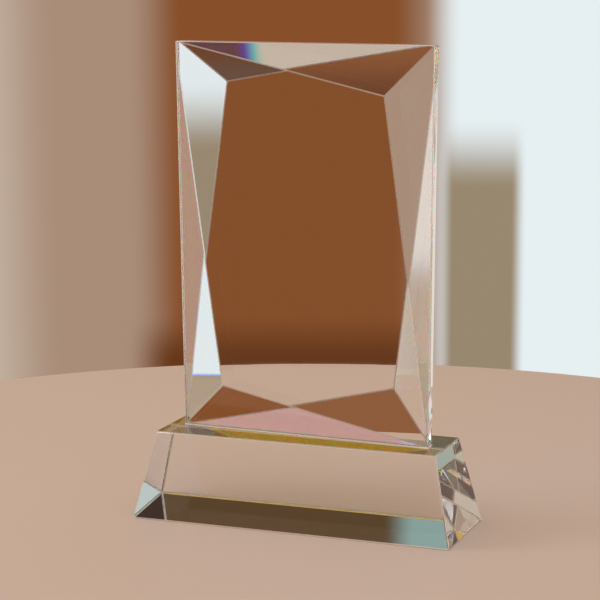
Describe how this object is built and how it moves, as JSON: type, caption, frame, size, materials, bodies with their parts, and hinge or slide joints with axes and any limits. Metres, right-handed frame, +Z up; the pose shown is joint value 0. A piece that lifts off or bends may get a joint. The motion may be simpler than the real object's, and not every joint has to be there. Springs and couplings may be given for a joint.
{
  "type": "crystal award",
  "caption": "Clear crystal award: an upright rectangular plaque with long facets on both faces, bonded on a clear block base with sloping sides.",
  "frame": {"origin": "centre of the base's underside", "axes": "+Z up, -Y out of the front face, +X to the viewer's right"},
  "size_m": [0.1518, 0.0518, 0.2178],
  "materials": {
    "optical_crystal": "ground flat and polished clear, colourless",
    "clear_adhesive": "cured clear optical adhesive"
  },
  "bodies": {
    "root": {"crystal_plaque": "optical_crystal", "bond_film": "clear_adhesive", "base_block": "optical_crystal"}
  },
  "joints": []
}
